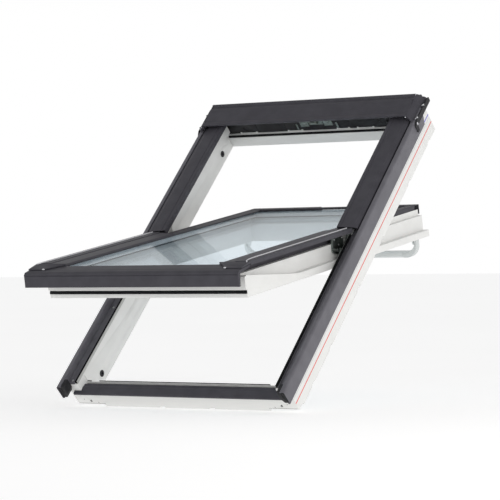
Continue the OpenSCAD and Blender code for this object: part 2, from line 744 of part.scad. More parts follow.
// Curved end of the control bar, carried on the pin of its bracket.
module end_cap() {
    inner = cap_curve - 14;
    color(SILVER) in_sash() difference() {
        union() {
            along_v(bar_v - bar_t / 2, bar_v + bar_t / 2) polygon(concat(
                [[bar_w / 2, bar_lo]],
                arc([cap_out_u - cap_curve, bar_lo + cap_curve], cap_curve, 270, 360, 10),
                [[cap_out_u, bar_pivot_w + 4], [cap_in_u, bar_pivot_w + 4]],
                arc([cap_in_u - inner, bar_hi + inner], inner, 360, 270, 8), [[bar_w / 2, bar_hi]]));
            rod_u(cap_in_u, cap_out_u, bar_v, bar_pivot_w + 4, bar_t / 2);
        }
        rod_u(cap_in_u - 1, cap_out_u - 1.5, bar_v, bar_pivot_w, 4 + pin_gap);
    }
}

module bar_right_end_cap() { end_cap(); }
module bar_left_end_cap() { on_left() end_cap(); }

// Brackets on the room face of the top rail, each with the pin that an end cap turns on.
module bar_brackets() {
    color(SILVER) in_sash() for (s = [0, 1]) mirror([s, 0, 0]) {
        box_uvw([cap_in_u - 26, bar_v - 14, sash_in - 3], [cap_in_u - cap_gap, bar_v + 12, sash_in]);
        along_u(cap_in_u - 8, cap_in_u - cap_gap) polygon([[bar_v - 12, sash_in - 3],
            [bar_v + 10, sash_in - 3], [bar_v + 6, bar_pivot_w - 6], [bar_v - 6, bar_pivot_w - 6]]);
        rod_u(cap_in_u - 8, cap_out_u - 2, bar_v, bar_pivot_w, 4);
    }
}

module barrel_bolt() {
    color(BRIGHT) in_sash() union() {
        rod_u(-lip_u + 0.5, -reveal_u - 8, bolt_v, bolt_w, bolt_r);
        rod_u(-reveal_u - 13, -reveal_u - 5, bolt_v, bolt_w, 7);
    }
}

frame_bottom_rail();
frame_top_rail();
frame_left_jamb();
frame_right_jamb();
bottom_draught_strip();
bottom_cladding();
left_jamb_cladding();
right_jamb_cladding();
left_upper_cover();
right_upper_cover();
left_corner_block();
right_corner_block();
top_hood();
left_hood_end();
right_hood_end();
vent_filter_panel();
lock_striker();
left_frame_gasket();
right_frame_gasket();
stop_gaskets();
left_frame_hinge_plate();
right_frame_hinge_plate();
bolt_bushes();
cladding_screws();
sash_bottom_rail();
sash_top_rail();
sash_left_stile();
sash_right_stile();
outer_pane();
inner_pane();
pane_spacer();
glazing_gasket();
sash_bottom_cover();
sash_left_lower_cover();
sash_right_lower_cover();
sash_left_bead();
sash_right_bead();
sash_top_bead();
sash_bottom_gasket();
left_sash_hinge_plate();
right_sash_hinge_plate();
hinge_screws();
lock_case();
latch_claw();
vent_flap();
control_bar();
bar_left_end_cap();
bar_right_end_cap();
bar_brackets();
barrel_bolt();
left_hinge_link();
right_hinge_link();
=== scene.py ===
"""Looks of a centre-pivot roof window, built round its frame. Lengths in the tables are millimetres."""

import json
import math

import bmesh
import bpy
from mathutils import Matrix, Vector

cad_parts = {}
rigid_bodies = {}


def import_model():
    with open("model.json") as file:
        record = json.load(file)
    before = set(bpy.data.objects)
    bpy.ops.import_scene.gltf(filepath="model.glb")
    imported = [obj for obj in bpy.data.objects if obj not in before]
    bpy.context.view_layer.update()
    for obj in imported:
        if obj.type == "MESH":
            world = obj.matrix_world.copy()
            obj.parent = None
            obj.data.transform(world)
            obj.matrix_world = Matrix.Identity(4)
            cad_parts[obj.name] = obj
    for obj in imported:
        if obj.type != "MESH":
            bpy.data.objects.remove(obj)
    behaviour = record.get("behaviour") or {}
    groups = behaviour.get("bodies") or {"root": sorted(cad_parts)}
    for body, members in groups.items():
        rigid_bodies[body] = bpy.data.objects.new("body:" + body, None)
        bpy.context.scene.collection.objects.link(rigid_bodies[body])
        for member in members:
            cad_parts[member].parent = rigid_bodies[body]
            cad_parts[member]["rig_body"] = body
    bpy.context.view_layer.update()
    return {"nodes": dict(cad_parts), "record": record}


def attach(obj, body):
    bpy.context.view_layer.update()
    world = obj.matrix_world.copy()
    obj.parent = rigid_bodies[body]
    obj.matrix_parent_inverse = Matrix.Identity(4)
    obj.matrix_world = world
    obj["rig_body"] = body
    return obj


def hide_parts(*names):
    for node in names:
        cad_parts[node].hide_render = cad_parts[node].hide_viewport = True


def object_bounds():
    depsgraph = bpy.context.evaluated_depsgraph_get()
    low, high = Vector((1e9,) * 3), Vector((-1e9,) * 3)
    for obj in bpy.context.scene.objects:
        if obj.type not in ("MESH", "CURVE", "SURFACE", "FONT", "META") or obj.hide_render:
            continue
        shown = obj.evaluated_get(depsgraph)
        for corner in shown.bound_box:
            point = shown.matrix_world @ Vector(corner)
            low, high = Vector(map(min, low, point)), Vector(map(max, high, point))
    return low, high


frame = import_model()

MM = 0.001
PITCH = math.radians(45)  # the roof's slope
OPENING = math.radians(36)  # the sash, from shut
RED_LINE = 35.0  # height of the origin above the room face of the frame
AXIS_HEIGHT = 137.0  # height of the turning axis above the room face

# The window is drawn as (u across, v up the slope, w outward).
ROOF = Matrix.Rotation(PITCH, 4, "X") @ Matrix.Translation((0, 0, -RED_LINE * MM))
SASH = (
    ROOF
    @ Matrix.Translation((0, 0, AXIS_HEIGHT * MM))
    @ Matrix.Rotation(-OPENING, 4, "X")
    @ Matrix.Translation((0, 0, -AXIS_HEIGHT * MM))
)


# ------------------------------------------------------------------ camera

AIM = Vector((-0.0175, -0.0112, 0.0209))  # metres, as is the distance
CAMERA_DISTANCE = 7.1975
CAMERA_SIDE = math.radians(32.707)
CAMERA_ROLL = math.radians(-0.857)
CAMERA_SENSOR, CAMERA_LENS = 36, 168.64  # millimetres

away = Vector((math.sin(CAMERA_SIDE), -math.cos(CAMERA_SIDE), 0))
camera_data = bpy.data.cameras.new("camera")
camera_data.sensor_width = CAMERA_SENSOR
camera_data.lens = CAMERA_LENS
camera = bpy.data.objects.new("camera", camera_data)
bpy.context.scene.collection.objects.link(camera)
camera.matrix_world = (
    Matrix.Translation(AIM + away * CAMERA_DISTANCE)
    @ away.to_track_quat("Z", "Y").to_matrix().to_4x4()
    @ Matrix.Rotation(CAMERA_ROLL, 4, "Z")
)
bpy.context.scene.camera = camera


# ------------------------------------------------------------------ light and floor

FLOOR_DROP = 0.001  # below the lowest corner, in metres
FLOOR_HALF = 30.0  # half its width, in metres
COVE_TOP, CEILING_EDGE = 0.1, 0.9  # heights where the cove ends and the full ceiling starts, from level 0 to upright 1
CEILING_LIGHT = 0.42  # of the cove's
TABLE_GLOW = 0.33  # light of the opal table top under the window


def add(tree, kind, sockets=None, **settings):
    """Adds a node. A socket's value is a constant, or an output to link from."""
    made = tree.nodes.new(kind)
    for key, value in settings.items():
        setattr(made, key, value)
    for key, value in (sockets or {}).items():
        if isinstance(value, bpy.types.NodeSocket):
            tree.links.new(value, made.inputs[key])
        else:
            made.inputs[key].default_value = value
    return made


def tone(code):
    """Linear colour of an sRGB hex code, with a full alpha."""
    parts = [int(code[i : i + 2], 16) / 255 for i in (0, 2, 4)]
    return [p / 12.92 if p <= 0.04045 else ((p + 0.055) / 1.055) ** 2.4 for p in parts] + [1.0]


world = bpy.data.worlds.new("studio")
bpy.context.scene.world = world
world.use_nodes = True
# A white cove all round at eye height, and a dimmer ceiling.
sky = world.node_tree
facing = add(sky, "ShaderNodeSeparateXYZ", {0: add(sky, "ShaderNodeTexCoord").outputs["Generated"]})
cove = add(sky, "ShaderNodeMapRange", {
    "Value": facing.outputs["Z"], "From Min": COVE_TOP, "From Max": CEILING_EDGE,
    "To Min": 1.0, "To Max": CEILING_LIGHT,
})
sky.links.new(cove.outputs[0], sky.nodes["Background"].inputs["Strength"])
sky.nodes["Background"].inputs["Color"].default_value = tone("FFFFFF")
bpy.context.scene.view_settings.view_transform = "Standard"


def lamp(name, towards, size, distance, power, colour):
    """Softbox aimed at the window from the direction towards it."""
    data = bpy.data.lights.new(name, "AREA")
    data.shape = "SQUARE"
    data.size = size
    data.energy = power
    data.color = tone(colour)[:3]
    made = bpy.data.objects.new(name, data)
    bpy.context.scene.collection.objects.link(made)
    direction = Vector(towards).normalized()
    turned = direction.to_track_quat("Z", "Y").to_matrix().to_4x4()
    made.matrix_world = Matrix.Translation(direction * distance) @ turned


lamp("side_softbox", towards=(1.0, -0.35, 0.15), size=2.0, distance=4.0, power=26, colour="FFFDFA")


# ------------------------------------------------------------------ finishes

PATCH_EDGES = (0.35, 0.65)  # part of the noise that runs from one tone to the other


def surface(name, tones, patch_mm, grain_mm, grain_height, rough, stretch=(1, 1, 1), **sockets):
    """Two close tones in soft patches, a fine grain that lifts the surface, and roughness between two values.

    The sizes of patch and grain and the grain's height are millimetres. A stretch below 1 draws both out that way.
    """
    made = bpy.data.materials.new(name)
    made.use_nodes = True
    tree = made.node_tree
    shader = tree.nodes["Principled BSDF"]
    for key, value in sockets.items():
        shader.inputs[key.replace("_", " ")].default_value = value
    spot = add(tree, "ShaderNodeTexCoord").outputs["Object"]
    place = add(tree, "ShaderNodeMapping", {"Vector": spot, "Scale": stretch})
    patch = add(tree, "ShaderNodeTexNoise", {"Vector": place.outputs[0], "Scale": 1000 / patch_mm, "Detail": 3.0})
    grain = add(tree, "ShaderNodeTexNoise", {"Vector": place.outputs[0], "Scale": 1000 / grain_mm, "Detail": 2.0})
    low, high = PATCH_EDGES
    spread = add(tree, "ShaderNodeMapRange", {"Value": patch.outputs[0], "From Min": low, "From Max": high})
    mixed = add(tree, "ShaderNodeMix", {0: spread.outputs[0], 6: tone(tones[0]), 7: tone(tones[1])}, data_type="RGBA")
    tree.links.new(mixed.outputs[2], shader.inputs["Base Color"])
    sheen = add(tree, "ShaderNodeMapRange", {"Value": grain.outputs[0], "To Min": rough[0], "To Max": rough[1]})
    tree.links.new(sheen.outputs[0], shader.inputs["Roughness"])
    bump = add(tree, "ShaderNodeBump", {"Height": grain.outputs[0], "Distance": grain_height * MM, "Strength": 1.0})
    tree.links.new(bump.outputs[0], shader.inputs["Normal"])
    return made


LACQUER = (("EBEBE9", "E6E6E4"), 60, 1.6, 0.02, (0.38, 0.5), (0.12, 1, 1))
GLASS_BEND = 1.03  # low index of the coated panes

# Pine under two coats of white satin lacquer: faint long waves of the grain under an even white.
white_coat = surface("white_lacquered_pine", *LACQUER)
# Aluminium sheet, powder coated dark grey: an even, slightly pebbled skin with a low sheen.
dark_sheet = surface(
    "powder_coated_aluminium_dark", ("434248", "49484E"), 40, 1.2, 0.015, (0.44, 0.54), Specular_IOR_Level=0.16
)
# The same powder coat, painted a lighter grey on the sides of the jambs: painted light for the brighter light and sheen
# the sides catch.
side_sheet_painted_light = surface(
    "powder_coated_aluminium_side_painted_lighter", ("66656B", "6D6C72"), 40, 1.2, 0.015, (0.42, 0.52), Specular_IOR_Level=0.2
)
# EPDM rubber, extruded: nearly black and dull, with a fine drag along it.
rubber = surface("extruded_epdm_rubber", ("101113", "17181A"), 25, 0.8, 0.02, (0.6, 0.75), Specular_IOR_Level=0.12)
# ABS, moulded with a spark-eroded grain: a soft black with a small sheen.
black_plastic = surface("moulded_abs_black", ("1E1E21", "28282B"), 30, 0.9, 0.02, (0.45, 0.58), Specular_IOR_Level=0.25)
# PVC, extruded white: smooth and a little glossy.
white_plastic = surface("extruded_pvc_white", ("EDEDEB", "E6E6E4"), 30, 1.0, 0.01, (0.3, 0.4))
# Pressed steel, zinc plated and passivated: grey-green, softly mottled metal.
zinc_steel = surface("zinc_plated_steel", ("8C9490", "7A827E"), 9, 0.7, 0.01, (0.34, 0.46), Metallic=1.0)
# Bright zinc on turned and headed parts: clean silver with fine turning marks.
bright_steel = surface("bright_zinc_steel", ("C4C6C6", "B4B7B8"), 5, 0.4, 0.005, (0.22, 0.34), Metallic=1.0)
# Extruded aluminium, brushed and anodised: pale silver with fine lines along its length.
bar_metal = surface(
    "anodised_aluminium_silver", ("D6DAD9", "CCD0D0"), 30, 0.6, 0.008, (0.3, 0.42), (0.03, 1, 1), Metallic=0.55
)
# Float glass with a low-reflection coat: clear, smooth and faintly blue. Its low index stands for the coat,
# so that the reveal behind two panes still shows at a grazing view.
glass = surface(
    "clear_float_glass", ("EEF4F8", "F0F6F9"), 400, 300, 0.0, (0.0, 0.01), Transmission_Weight=1.0, IOR=GLASS_BEND
)
# Narrow bead of the same sheet, painted pale as a highlight: a painted bright line along the bead, and painted glints
# on small clips and screw heads.
bead_painted_highlight = surface(
    "sheet_bead_painted_highlight", ("DCDCE0", "CFCFD4"), 30, 0.8, 0.008, (0.25, 0.35), (1, 0.05, 1), Metallic=0.2
)
# Rolled aluminium spacer of the glazing unit: soft bright silver, partly the metal's own pale colour and partly painted
# light, made paler and less metallic so that it shows bright in the dark cavity under the bead.
spacer_painted_bright = surface("aluminium_spacer_painted_bright", ("E2E8EC", "D8DFE4"), 12, 0.8, 0.01, (0.3, 0.4), Metallic=0.35)
# PVC, extruded in pale grey: the stiff back of the frame gasket.
grey_plastic = surface("extruded_pvc_pale_grey", ("B9B9B6", "AFAFAC"), 30, 1.0, 0.01, (0.35, 0.45))


JAMB_FACE = 0.3892  # just inside the outer faces of the jambs, in metres


def painted_line(made, height, half, hexcode, from_v=-1.0, to_v=1.0, from_u=JAMB_FACE, to_u=1.0):
    """Paints a line at a height above the red line, in metres: by default on the outer faces of the jambs."""
    tree = made.node_tree
    shader = tree.nodes["Principled BSDF"]
    before = shader.inputs["Base Color"].links[0].from_socket
    spot = add(tree, "ShaderNodeTexCoord").outputs["Object"]
    across, along, above = (
        add(tree, "ShaderNodeVectorMath", {0: spot, 1: way}, operation="DOT_PRODUCT")
        for way in ((1, 0, 0), (0, math.cos(PITCH), math.sin(PITCH)), (0, -math.sin(PITCH), math.cos(PITCH)))
    )
    side = add(tree, "ShaderNodeMath", {0: across.outputs["Value"]}, operation="ABSOLUTE")
    tests = (
        add(tree, "ShaderNodeMath", {0: side.outputs[0], 1: from_u}, operation="GREATER_THAN"),
        add(tree, "ShaderNodeMath", {0: side.outputs[0], 1: to_u}, operation="LESS_THAN"),
        add(tree, "ShaderNodeMath", {0: above.outputs["Value"], 1: height, 2: half}, operation="COMPARE"),
        add(tree, "ShaderNodeMath", {0: along.outputs["Value"], 1: from_v}, operation="GREATER_THAN"),
        add(tree, "ShaderNodeMath", {0: along.outputs["Value"], 1: to_v}, operation="LESS_THAN"),
    )
    share = tests[0]
    for test in tests[1:]:
        share = add(tree, "ShaderNodeMath", {0: share.outputs[0], 1: test.outputs[0]}, operation="MULTIPLY")
    mixed = add(tree, "ShaderNodeMix", {0: share.outputs[0], 6: before, 7: tone(hexcode)}, data_type="RGBA")
    tree.links.new(mixed.outputs[2], shader.inputs["Base Color"])


# The same lacquer with the fitter's lines on it, red for the battens and blue for the covering, and grey lines of
# painted shade: the shade of a milled line, and of the saw kerfs under the bottom corners.
marked_and_shaded_coat = surface("white_lacquered_pine_lined", *LACQUER)
# Painted shade: a pale grey line along the milled line on the outer faces of the jambs.
painted_line(marked_and_shaded_coat, 0.018, 0.0012, "CFCFCF")
painted_line(marked_and_shaded_coat, 0.0, 0.0021, "E2706B")
painted_line(marked_and_shaded_coat, 0.029, 0.0021, "6F68CE", from_v=0.552, to_v=0.592)
# Painted shade: a grey line for the saw kerfs on the bottom faces under the corners.
painted_line(marked_and_shaded_coat, -0.023, 0.0009, "8A8A88", to_v=-0.5885, from_u=0.289, to_u=0.385)

NODE_FINISH = {
    "white_coated_timber": white_coat, "dark_grey_sheet": dark_sheet, "side_grey_sheet": side_sheet_painted_light,
    "black_rubber": rubber, "black_plastic": black_plastic, "white_plastic": white_plastic,
    "white_lacquered_flap": white_plastic, "clear_glass": glass, "spacer_aluminium": spacer_painted_bright,
    "zinc_steel": zinc_steel, "bright_steel": bright_steel, "silver_aluminium": bar_metal,
}
SLOT_OF = {s["node"]: s["material_slot"] for s in frame["record"]["subparts"]}
for name, made in frame["nodes"].items():
    made.data.materials.clear()
    made.data.materials.append(NODE_FINISH[SLOT_OF[name]])


# ------------------------------------------------------------------ making shapes

CREASE = math.radians(32)  # sharper folds are shaded as edges
SHARP_EDGE = math.radians(28)  # sharper edges of a solid are eased
FLAT = math.radians(1)


def settle(name, mesh, finish, body, replaces=()):
    """Puts a finished mesh in the scene with smooth bends and sharp edges, and seats it on its body."""
    mesh.bm.normal_update()
    data = bpy.data.meshes.new(name)
    mesh.bm.to_mesh(data)
    mesh.bm.free()
    data.polygons.foreach_set("use_smooth", [True] * len(data.polygons))
    data.set_sharp_from_angle(angle=CREASE)
    made = bpy.data.objects.new(name, data)
    bpy.context.scene.collection.objects.link(made)
    for one in finish if isinstance(finish, (list, tuple)) else [finish]:
        data.materials.append(one)
    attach(made, body)
    if replaces:
        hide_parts(*replaces)
    return made


def circle(centre, side, up, radius, sides):
    """Points round a circle in the plane of two unit vectors."""
    turns = (2 * math.pi * k / sides for k in range(sides))
    return [centre + (side * math.cos(t) + up * math.sin(t)) * radius for t in turns]


class Shape:
    """A mesh drawn in the window's own (u, v, w), in millimetres, and kept in the row frame."""

    def __init__(self, place):
        self.place = place
        self.bm = bmesh.new()

    def point(self, u, v, w):
        return self.bm.verts.new(self.place @ (Vector((u, v, w)) * MM))

    def loft(self, rings, mark=0):
        """Skins rings of (u, v, w) points, with a face over each end. mark is the number of the finish."""
        rows = [[self.point(*p) for p in ring] for ring in rings]
        count = len(rows[0])
        faces = []
        for a, b in zip(rows, rows[1:]):
            for i in range(count):
                j = (i + 1) % count
                faces.append(self.bm.faces.new((a[i], a[j], b[j], b[i])))
        faces.append(self.bm.faces.new(list(reversed(rows[0]))))
        faces.append(self.bm.faces.new(rows[-1]))
        for face in faces:
            face.material_index = mark
        bmesh.ops.recalc_face_normals(self.bm, faces=faces)

    def along_u(self, outline, lo, hi, mark=0):
        """Runs a (v, w) outline across the window."""
        self.loft([[(at, v, w) for v, w in outline] for at in (lo, hi)], mark)
        return self

    def along_v(self, outline, lo, hi, slant=lambda u, w: 0):
        """Runs a (u, w) outline up the slope. slant gives each point's own shift of the upper end."""
        self.loft([[(u, lo, w) for u, w in outline], [(u, hi + slant(u, w), w) for u, w in outline]])
        return self

    def block(self, lo, hi, ease=0.6, mark=0):
        """A block with eased edges."""
        (x0, y0, z0), (x1, y1, z1) = lo, hi
        e = min([ease] + [0.45 * (b - a) for a, b in zip(lo, hi)])
        rings = []
        for z, inset in ((z0, e), (z0 + e, 0), (z1 - e, 0), (z1, e)):
            a0, a1, b0, b1 = x0 + inset, x1 - inset, y0 + inset, y1 - inset
            rings.append([(a0 + e, b0, z), (a1 - e, b0, z), (a1, b0 + e, z), (a1, b1 - e, z),
                          (a1 - e, b1, z), (a0 + e, b1, z), (a0, b1 - e, z), (a0, b0 + e, z)])
        self.loft(rings, mark)
        return self

    def tube(self, path, radius, sides=10, mark=0):
        """A round bar along a path, with flat ends."""
        points = [Vector(p) for p in path]
        rings = []
        for i, p in enumerate(points):
            way = (points[min(i + 1, len(points) - 1)] - points[max(i - 1, 0)]).normalized()
            side = way.orthogonal().normalized() if i == 0 else (side - way * side.dot(way)).normalized()
            rings.append(circle(p, side, way.cross(side), radius, sides))
        self.loft(rings, mark)
        return self

    def turned(self, centre, axis, steps, sides=24, mark=0):
        """A turned part: steps of (distance along the axis, radius) from a centre."""
        way = Vector(axis).normalized()
        side = way.orthogonal().normalized()
        up = way.cross(side)
        self.loft([circle(Vector(centre) + way * far, side, up, radius, sides) for far, radius in steps], mark)
        return self

    def mirrored(self):
        """Turns the shape into its left-hand twin."""
        for v in self.bm.verts:
            v.co.x = -v.co.x
        bmesh.ops.reverse_faces(self.bm, faces=list(self.bm.faces))
        return self


def rounded(path, radius, closed=False, steps=4):
    """Rounds the corners of a path. radius is one value, or one for each corner."""
    points = [Vector(p) for p in path]
    out = []
    last = len(points) - 1
    for i, p in enumerate(points):
        r = radius[i] if isinstance(radius, (list, tuple)) else radius
        if r == 0 or (not closed and i in (0, last)):
            out.append((p.x, p.y))
            continue
        a, b = points[i - 1] - p, points[(i + 1) % len(points)] - p
        bend = a.angle(b)
        reach = min(r / math.tan(bend / 2), 0.48 * a.length, 0.48 * b.length)
        start, end = p + a.normalized() * reach, p + b.normalized() * reach
        for k in range(steps + 1):
            t = k / steps
            q = start * (1 - t) ** 2 + p * 2 * t * (1 - t) + end * t * t
            out.append((q.x, q.y))
    return out


def folded(path, thick, radius=1.5, steps=4):
    """Outline of a sheet folded along a path, thick to the left of it."""
    outer = rounded(path, radius, steps=steps)
    inner = []
    for i, p in enumerate(outer):
        before = Vector(outer[max(i - 1, 0)])
        after = Vector(outer[min(i + 1, len(outer) - 1)])
        here = Vector(p)
        ways = [w.normalized() for w in (here - before, after - here) if w.length > 1e-6]
        normals = [Vector((-w.y, w.x)) for w in ways]
        mean = sum(normals, Vector((0, 0))) / len(normals)
        q = here + mean * (thick / max(mean.length_squared, 0.3))
        inner.append((q.x, q.y))
    return outer + inner[::-1]


def eased(node, width, finish, steps=2):
    """The node's own solid with its sharp edges eased, in place of the plain one."""
    source = frame["nodes"][node]
    shape = Shape(Matrix.Identity(4))
    shape.bm.from_mesh(source.data)
    bm = shape.bm
    bmesh.ops.remove_doubles(bm, verts=list(bm.verts), dist=2e-6)
    bmesh.ops.dissolve_limit(bm, angle_limit=FLAT, verts=list(bm.verts), edges=list(bm.edges))
    bm.normal_update()
    sharp = [e for e in bm.edges if len(e.link_faces) == 2 and e.calc_face_angle(0) > SHARP_EDGE]
    bmesh.ops.bevel(bm, geom=sharp, offset=width * MM, segments=steps, profile=0.5, affect="EDGES",
                    clamp_overlap=True)
    for face in bm.faces:
        face.material_index = 0
    return settle(node + "_eased", shape, finish, source["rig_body"], replaces=(node,))


# ------------------------------------------------------------------ sizes of the window

# Names in _U are distances across from the middle, names in _V distances along the slope from the turning axis,
# and the others heights above the room face.
IN_U, OUT_V = 349.0, 589.0  # inner faces of the jambs, outer faces of the rails
SHEET = 1.5  # thickness
CLAD_U, CLAD_LO, CLAD_TOP = 401.0, 70.0, 119.5
CLAD_TAIL_V = 621.0  # below the bottom rail
CLAD_HEAD_V = 534.0  # where the side of the cladding ends under the hood
CHANNEL_U, CHANNEL_FLOOR = 386.0, 97.5  # screw channel beside the cladding
HOOD_U, HOOD_END_U, CHEEK_U = 377.0, 404.0, 404.6
HOOD_FLOOR = 129.2  # underside of the bevel, clear of the upper cover
APRON_U = 348.3  # the apron's fold, between the jambs
FRONT_V = 619.0  # front face of the sash's cover
COVER_U, COVER_TOP = 372.0, 142.5
MEET_V = 20.0  # where the lower cover of the sash gives way to the bead, and the rubber to the upper cover
RUBBER_V = 585  # lower end of the ribbed rubber
BEAD_U, TOP_BEAD_V = 309.0, 553.0
SEAL_U = 318.0  # where the lip seal turns into its narrower ends
LIP_U = 345.25  # just clear of the stile's own face
PANEL_V, STEP_W = 557.7, 48.0  # face of the ventilation panel, and the step under it


def on_both(name, place, draw, finish, body, nodes=None):
    """Draws a right-hand piece and its left-hand twin."""
    for side in ("right", "left"):
        shape = Shape(place)
        draw(shape)
        if side == "left":
            shape.mirrored()
        replaced = (nodes.format(side),) if nodes else ()
        settle(side + "_" + name, shape, finish, body, replaced)


def arc_points(centre, radius, start, end, steps=8):
    """Points on an arc, in degrees."""
    turns = [math.radians(start + (end - start) * k / steps) for k in range(steps + 1)]
    return [(centre[0] + radius * math.cos(t), centre[1] + radius * math.sin(t)) for t in turns]


# ------------------------------------------------------------------ hood over the top rail

# The sheet starts in a turned-in lip, dips in a long hollow, and rises to a bead before it bends down behind.
hood_fold = folded(
    [(504, 140.5), (494.4, 139.4), (493.3, 147.6), (506, 146.8), (511, 143.2), (540, 145.2), (566, 148.4),
     (571.5, 147.4), (583.5, 143.4), (587.4, 148.8), (592.6, 148.2), (600, 139), (606, 133), (610, 122), (610, 104)],
    -SHEET, [0, 2, 2.4, 2, 2, 20, 4, 4, 2, 2, 2.4, 5, 4, 6, 0])
hood = Shape(ROOF).along_u(hood_fold, -HOOD_U, HOOD_U)
settle("hood_sheet", hood, dark_sheet, "frame", ("top_hood",))


def hood_end(shape):
    """Hollow bevel from the end of the hood down to a flat cheek on the cladding."""
    crest = [(495.5, 138.5), (495.5, 145.5), (512, 145.2), (540, 143.6), (572, 145),
             (580, 147.6), (590, 147), (597, 138.5), (605, 131), (608.5, 121)]
    foot = [(488, 104), (488, 112.5), (500, 117.5), (540, 117.5), (575, 117.5),
            (590, 117.5), (603, 117), (608.4, 115.5), (608.8, 111), (608.8, 104)]
    # Each ring's u, its share of the way from crest to foot, how far it sags below that, and its underside.
    bevel = ((HOOD_U - 1.5, 0.0, 0, HOOD_FLOOR), (HOOD_U + 2, 0.05, 0, HOOD_FLOOR), (384.8, 0.3, 0, HOOD_FLOOR),
             (386, 0.34, 0, 119.9), (391.5, 0.7, 3, 119.9), (397, 1.0, 6.5, 116), (402.3, 1.0, 6, 104))
    rings = []
    for u, share, sag, under in bevel:
        ring = [(u, a + (c - a) * share, max(b + (d - b) * share - sag, under + 0.6))
                for (a, b), (c, d) in zip(crest, foot)]
        rings.append([(u, ring[0][1], under)] + ring + [(u, ring[-1][1], under)])
    shape.loft(rings)
    cheek = rounded([(482, 84), (482, 112), (497, 121), (598, 121), (609.6, 117), (609.6, 102), (498, 102), (494, 84)],
                    [3, 5, 6, 5, 3, 3, 3, 3], closed=True)
    shape.along_u(cheek, 402.2, CHEEK_U, mark=1)
    rim = [(CHEEK_U, v, w) for v, w in ((484, 112), (497, 119.8), (597.5, 119.8), (608.4, 116.4))]
    shape.tube(rim, 1.2, mark=1)
    # The clips and screw heads below take finish 2, the pale bead finish: painted glints.
    shape.block((398.2, 503, 116), (402.4, 512, 124), 1.6, mark=2)
    shape.block((397.4, 566, 116.4), (402.4, 571, 122.4), 1.2, mark=2)
    shape.block((404.4, 494, 104), (405.8, 500, 114), 0.6, mark=2)
    for at in (489.5, 590):
        centre = (HOOD_U + 0.6, at, 146.2 if at > 500 else 143)
        shape.turned(centre, (1, 0, 0.3), [(0, 1.7), (1.6, 1.7), (2.4, 0.9)], sides=12, mark=2)


on_both("hood_end_cap", ROOF, hood_end, [dark_sheet, black_plastic, bead_painted_highlight], "frame", "{}_hood_end")

# ------------------------------------------------------------------ covers and cladding of the frame

upper_fold = folded(
    [(345.5, 110), (312, 110), (312, 127.9), (320.5, 127.5), (322, 125.8), (326.6, 125.6), (328.2, 126.9),
     (367.6, 124), (369.6, 122.4), (379.6, 119.6), (379.6, 98.2)],
    -SHEET, [0, 1.2, 1.4, 0.8, 0.8, 0.8, 0.8, 1.2, 1.2, 1.6, 0])


def upper_cover(shape):
    """Folded cover of the upper half of a jamb, with a stud near its lower end."""
    shape.along_v(upper_fold, 30, 575)
    shape.turned((346.8, 108, 125.2), (0.07, 0, 1), [(0, 2.6), (0.7, 2.4), (0.9, 1.9), (0.3, 1.2)])


on_both("upper_cover_sheet", ROOF, upper_cover, dark_sheet, "frame", "{}_upper_cover")

clad_path = [(394, CLAD_LO), (CLAD_U, CLAD_LO), (CLAD_U, CLAD_TOP), (CHANNEL_U, CLAD_TOP)]
side_fold = folded(clad_path + [(CHANNEL_U, CHANNEL_FLOOR), (360, CHANNEL_FLOOR), (360, 102.5)],
                   SHEET, [0, 1.6, 12, 1.2, 1.4, 1.2, 0], steps=8)
tail_fold = folded(clad_path + [(CHANNEL_U, CLAD_TOP - 5)], SHEET, [0, 1.6, 12, 1.2, 0], steps=8)


def under_hood(u, w):
    """How far a point of the side runs on under the hood: in the channel to its end, and outside it at a slant."""
    return OUT_V - CLAD_HEAD_V if u < CHANNEL_U + SHEET else 0.5 * (w - CLAD_LO)


def jamb_cladding(shape):
    """Side of a jamb with its screw channel, cut at a slant under the hood, and a tail below the bottom rail."""
    shape.along_v(side_fold, -OUT_V + 0.3, CLAD_HEAD_V, under_hood)
    shape.along_v(tail_fold, -CLAD_TAIL_V, -OUT_V + 0.3)


on_both("jamb_cladding_sheet", ROOF, jamb_cladding, side_sheet_painted_light, "frame", "{}_jamb_cladding")

# Ribbed rubber along the lower half of each jamb.
ribs = [(358, 96), (358, 102.4)]
for k in range(3):
    ribs += arc_points((356.5 - 3 * k, 103.6), 1.35, 0, 180, 6)
ribs += [(349.5, 102.4), (349.5, 96)]
on_both("jamb_rubber", ROOF, lambda s: s.along_v(ribs, -RUBBER_V, MEET_V), rubber, "frame", "{}_frame_gasket")
back = [(349.1, 86), (349.1, 104.4), (349.9, 105), (350.7, 104.4), (350.7, 86)]
on_both("gasket_back", ROOF, lambda s: s.along_v(back, -RUBBER_V, MEET_V), grey_plastic, "frame")
eased("stop_gaskets", 0.8, rubber)

# ------------------------------------------------------------------ bottom of the frame

apron_path = [(-553, 61.5), (-559.5, 61.5), (-561.6, 69.4), (-566, 71.3), (-568.4, 70.3), (-578, 72.6), (-598.6, 68.4),
              (-600.6, 66.4), (-600.6, 62)]
apron = Shape(ROOF).along_u(folded(apron_path, SHEET, [0, 1.6, 2, 1.2, 1, 6, 1.5, 1.2, 0]), -APRON_U, APRON_U)
outer = folded([(-590, 70.1), (-598.6, 68.4), (-600.6, 66.4), (-600.6, 62)], SHEET, [0, 1.5, 1.2, 0])
for lo, hi in ((-374, -APRON_U), (APRON_U, 374)):
    apron.along_u(outer, lo, hi)
settle("bottom_apron_sheet", apron, dark_sheet, "frame", ("bottom_cladding",))

